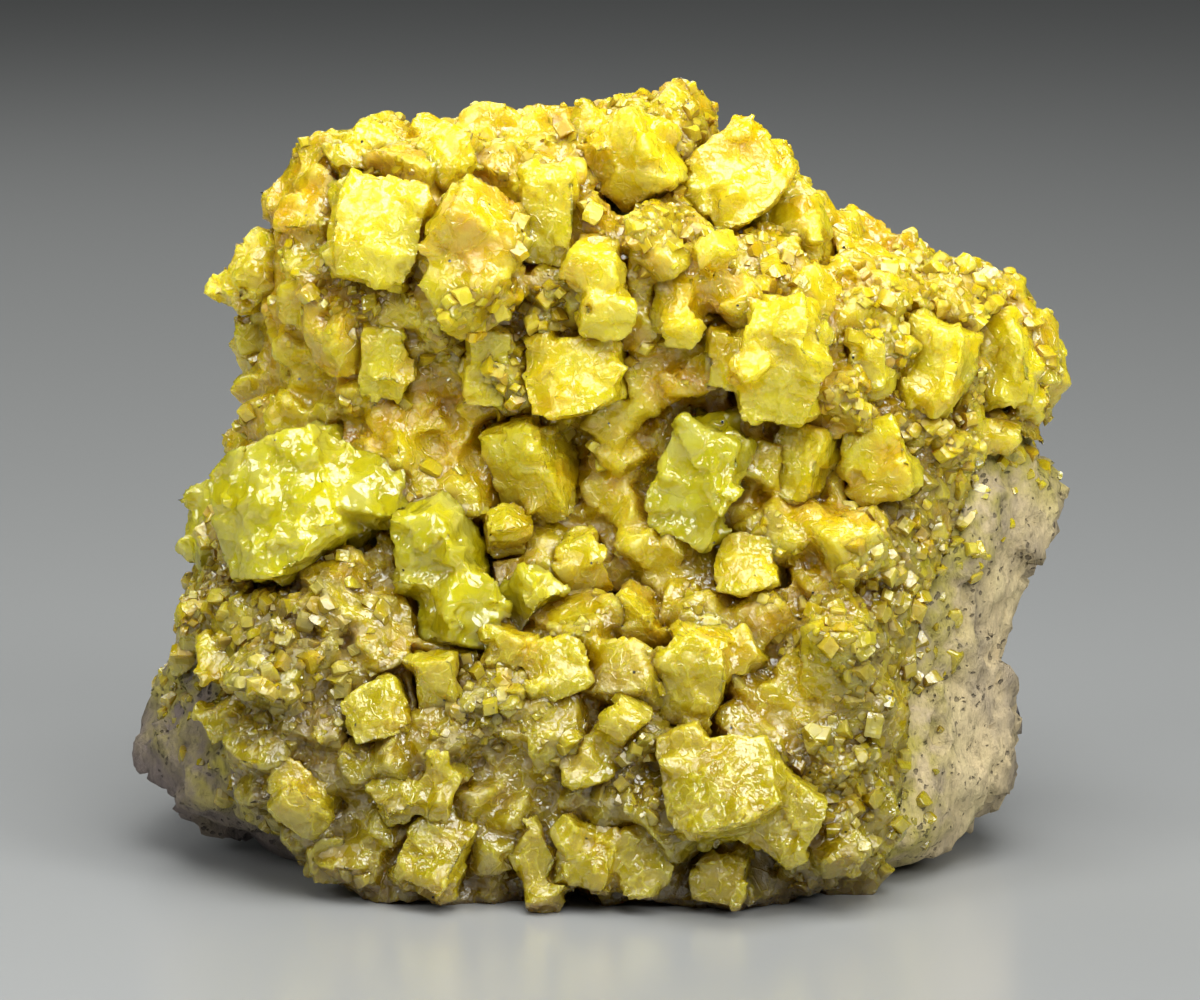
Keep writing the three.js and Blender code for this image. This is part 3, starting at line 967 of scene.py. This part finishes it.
def middlingCover(place, normal):
    # low on both flanks only fine crystals grow
    low = smooth(46, 40, place.z)
    flanks = smooth(-43, -34, place.x) * smooth(33, 25, place.x)
    return outward(place, normal) * (1 - low * (1 - flanks))


def fineCover(place, normal):
    loose = smooth(0.1, 0.3, noise.noise(place / 5)) * crustShape["loose"]
    share = max(patchShare(finePatches, place), loose)
    return aboveTable(place.z) * outward(place, normal) * share


def makeCrust():
    base = meshOfNode("sulfur_druse")
    named = objectOf("named", joined([c.data for c in crystals]))
    common = {"Crystals": shelf, "Keep Clear": named, "Material": crustSulfur}

    def bedHeight(place, normal):
        # along the outline the crystals sit deeper, so that the crust keeps its shape
        sideways = smooth(0.75, 0.35, -normal.y)
        return -crustShape["bedSink"] * sideways * outward(place, normal)

    bed = remeshed(base.copy(), crustShape["bedVoxel"])
    displace(bed, bedHeight)
    setAttribute(bed, "cover", middlingCover)
    middling = scattered("middling", bed, {**common, **crustShape["middling"]})
    mesh = remeshed(joined([base, middling]), crustShape["voxel"])

    def height(place, normal):
        d = facetHeight(place, *crustShape["steps"]) + facetHeight(place, *crustShape["mosaic"])
        return (d + rough(place, *crustShape["etch"])) * outward(place, normal)

    displace(mesh, height)
    piece = objectOf("thinning", mesh)
    fewer = piece.modifiers.new("fewer", "DECIMATE")
    fewer.ratio = min(1.0, crustShape["triangles"] / (2 * len(mesh.polygons)))
    mesh = finishedMesh(piece)
    mesh.polygons.foreach_set("use_smooth", [True] * len(mesh.polygons))
    print("crust faces:", len(mesh.polygons))
    matrixShare = crustShape["matrixShare"]
    setAttribute(mesh, "matrix", lambda p, n: matrixShare * patchShare(matrixPatches, p))
    mesh.materials.clear()
    mesh.materials.append(crustSulfur)
    crust = objectOf("sulfur_crust", mesh)
    fit(crust, "sulfur_druse")

    small = {**common, **crustShape["small"], "Material": smallSulfur}
    setAttribute(mesh, "cover", fineCover)
    fine = scattered("fine", mesh, small)
    print("fine crystals:", len(fine.polygons))
    fit(objectOf("fine_crystals", fine), "sulfur_druse")
    mesh.attributes.remove(mesh.attributes["cover"])

    # strays on the rock beside the crust
    bare = rock.data.copy()
    stain = [0.0] * len(bare.vertices)
    bare.attributes["stain"].data.foreach_get("value", stain)
    cover = bare.attributes.new("cover", "FLOAT", "POINT")
    above = [aboveTable(v.co.z / mm) for v in bare.vertices]
    shares = [crustShape["strayShare"] * s * s * a for s, a in zip(stain, above)]
    cover.data.foreach_set("value", shares)
    strays = scattered("strays", bare, small)
    print("stray crystals:", len(strays.polygons))
    fit(objectOf("stray_crystals", strays), "matrix_rock")
    bpy.data.objects.remove(named)


makeCrust()
print("crust ready")
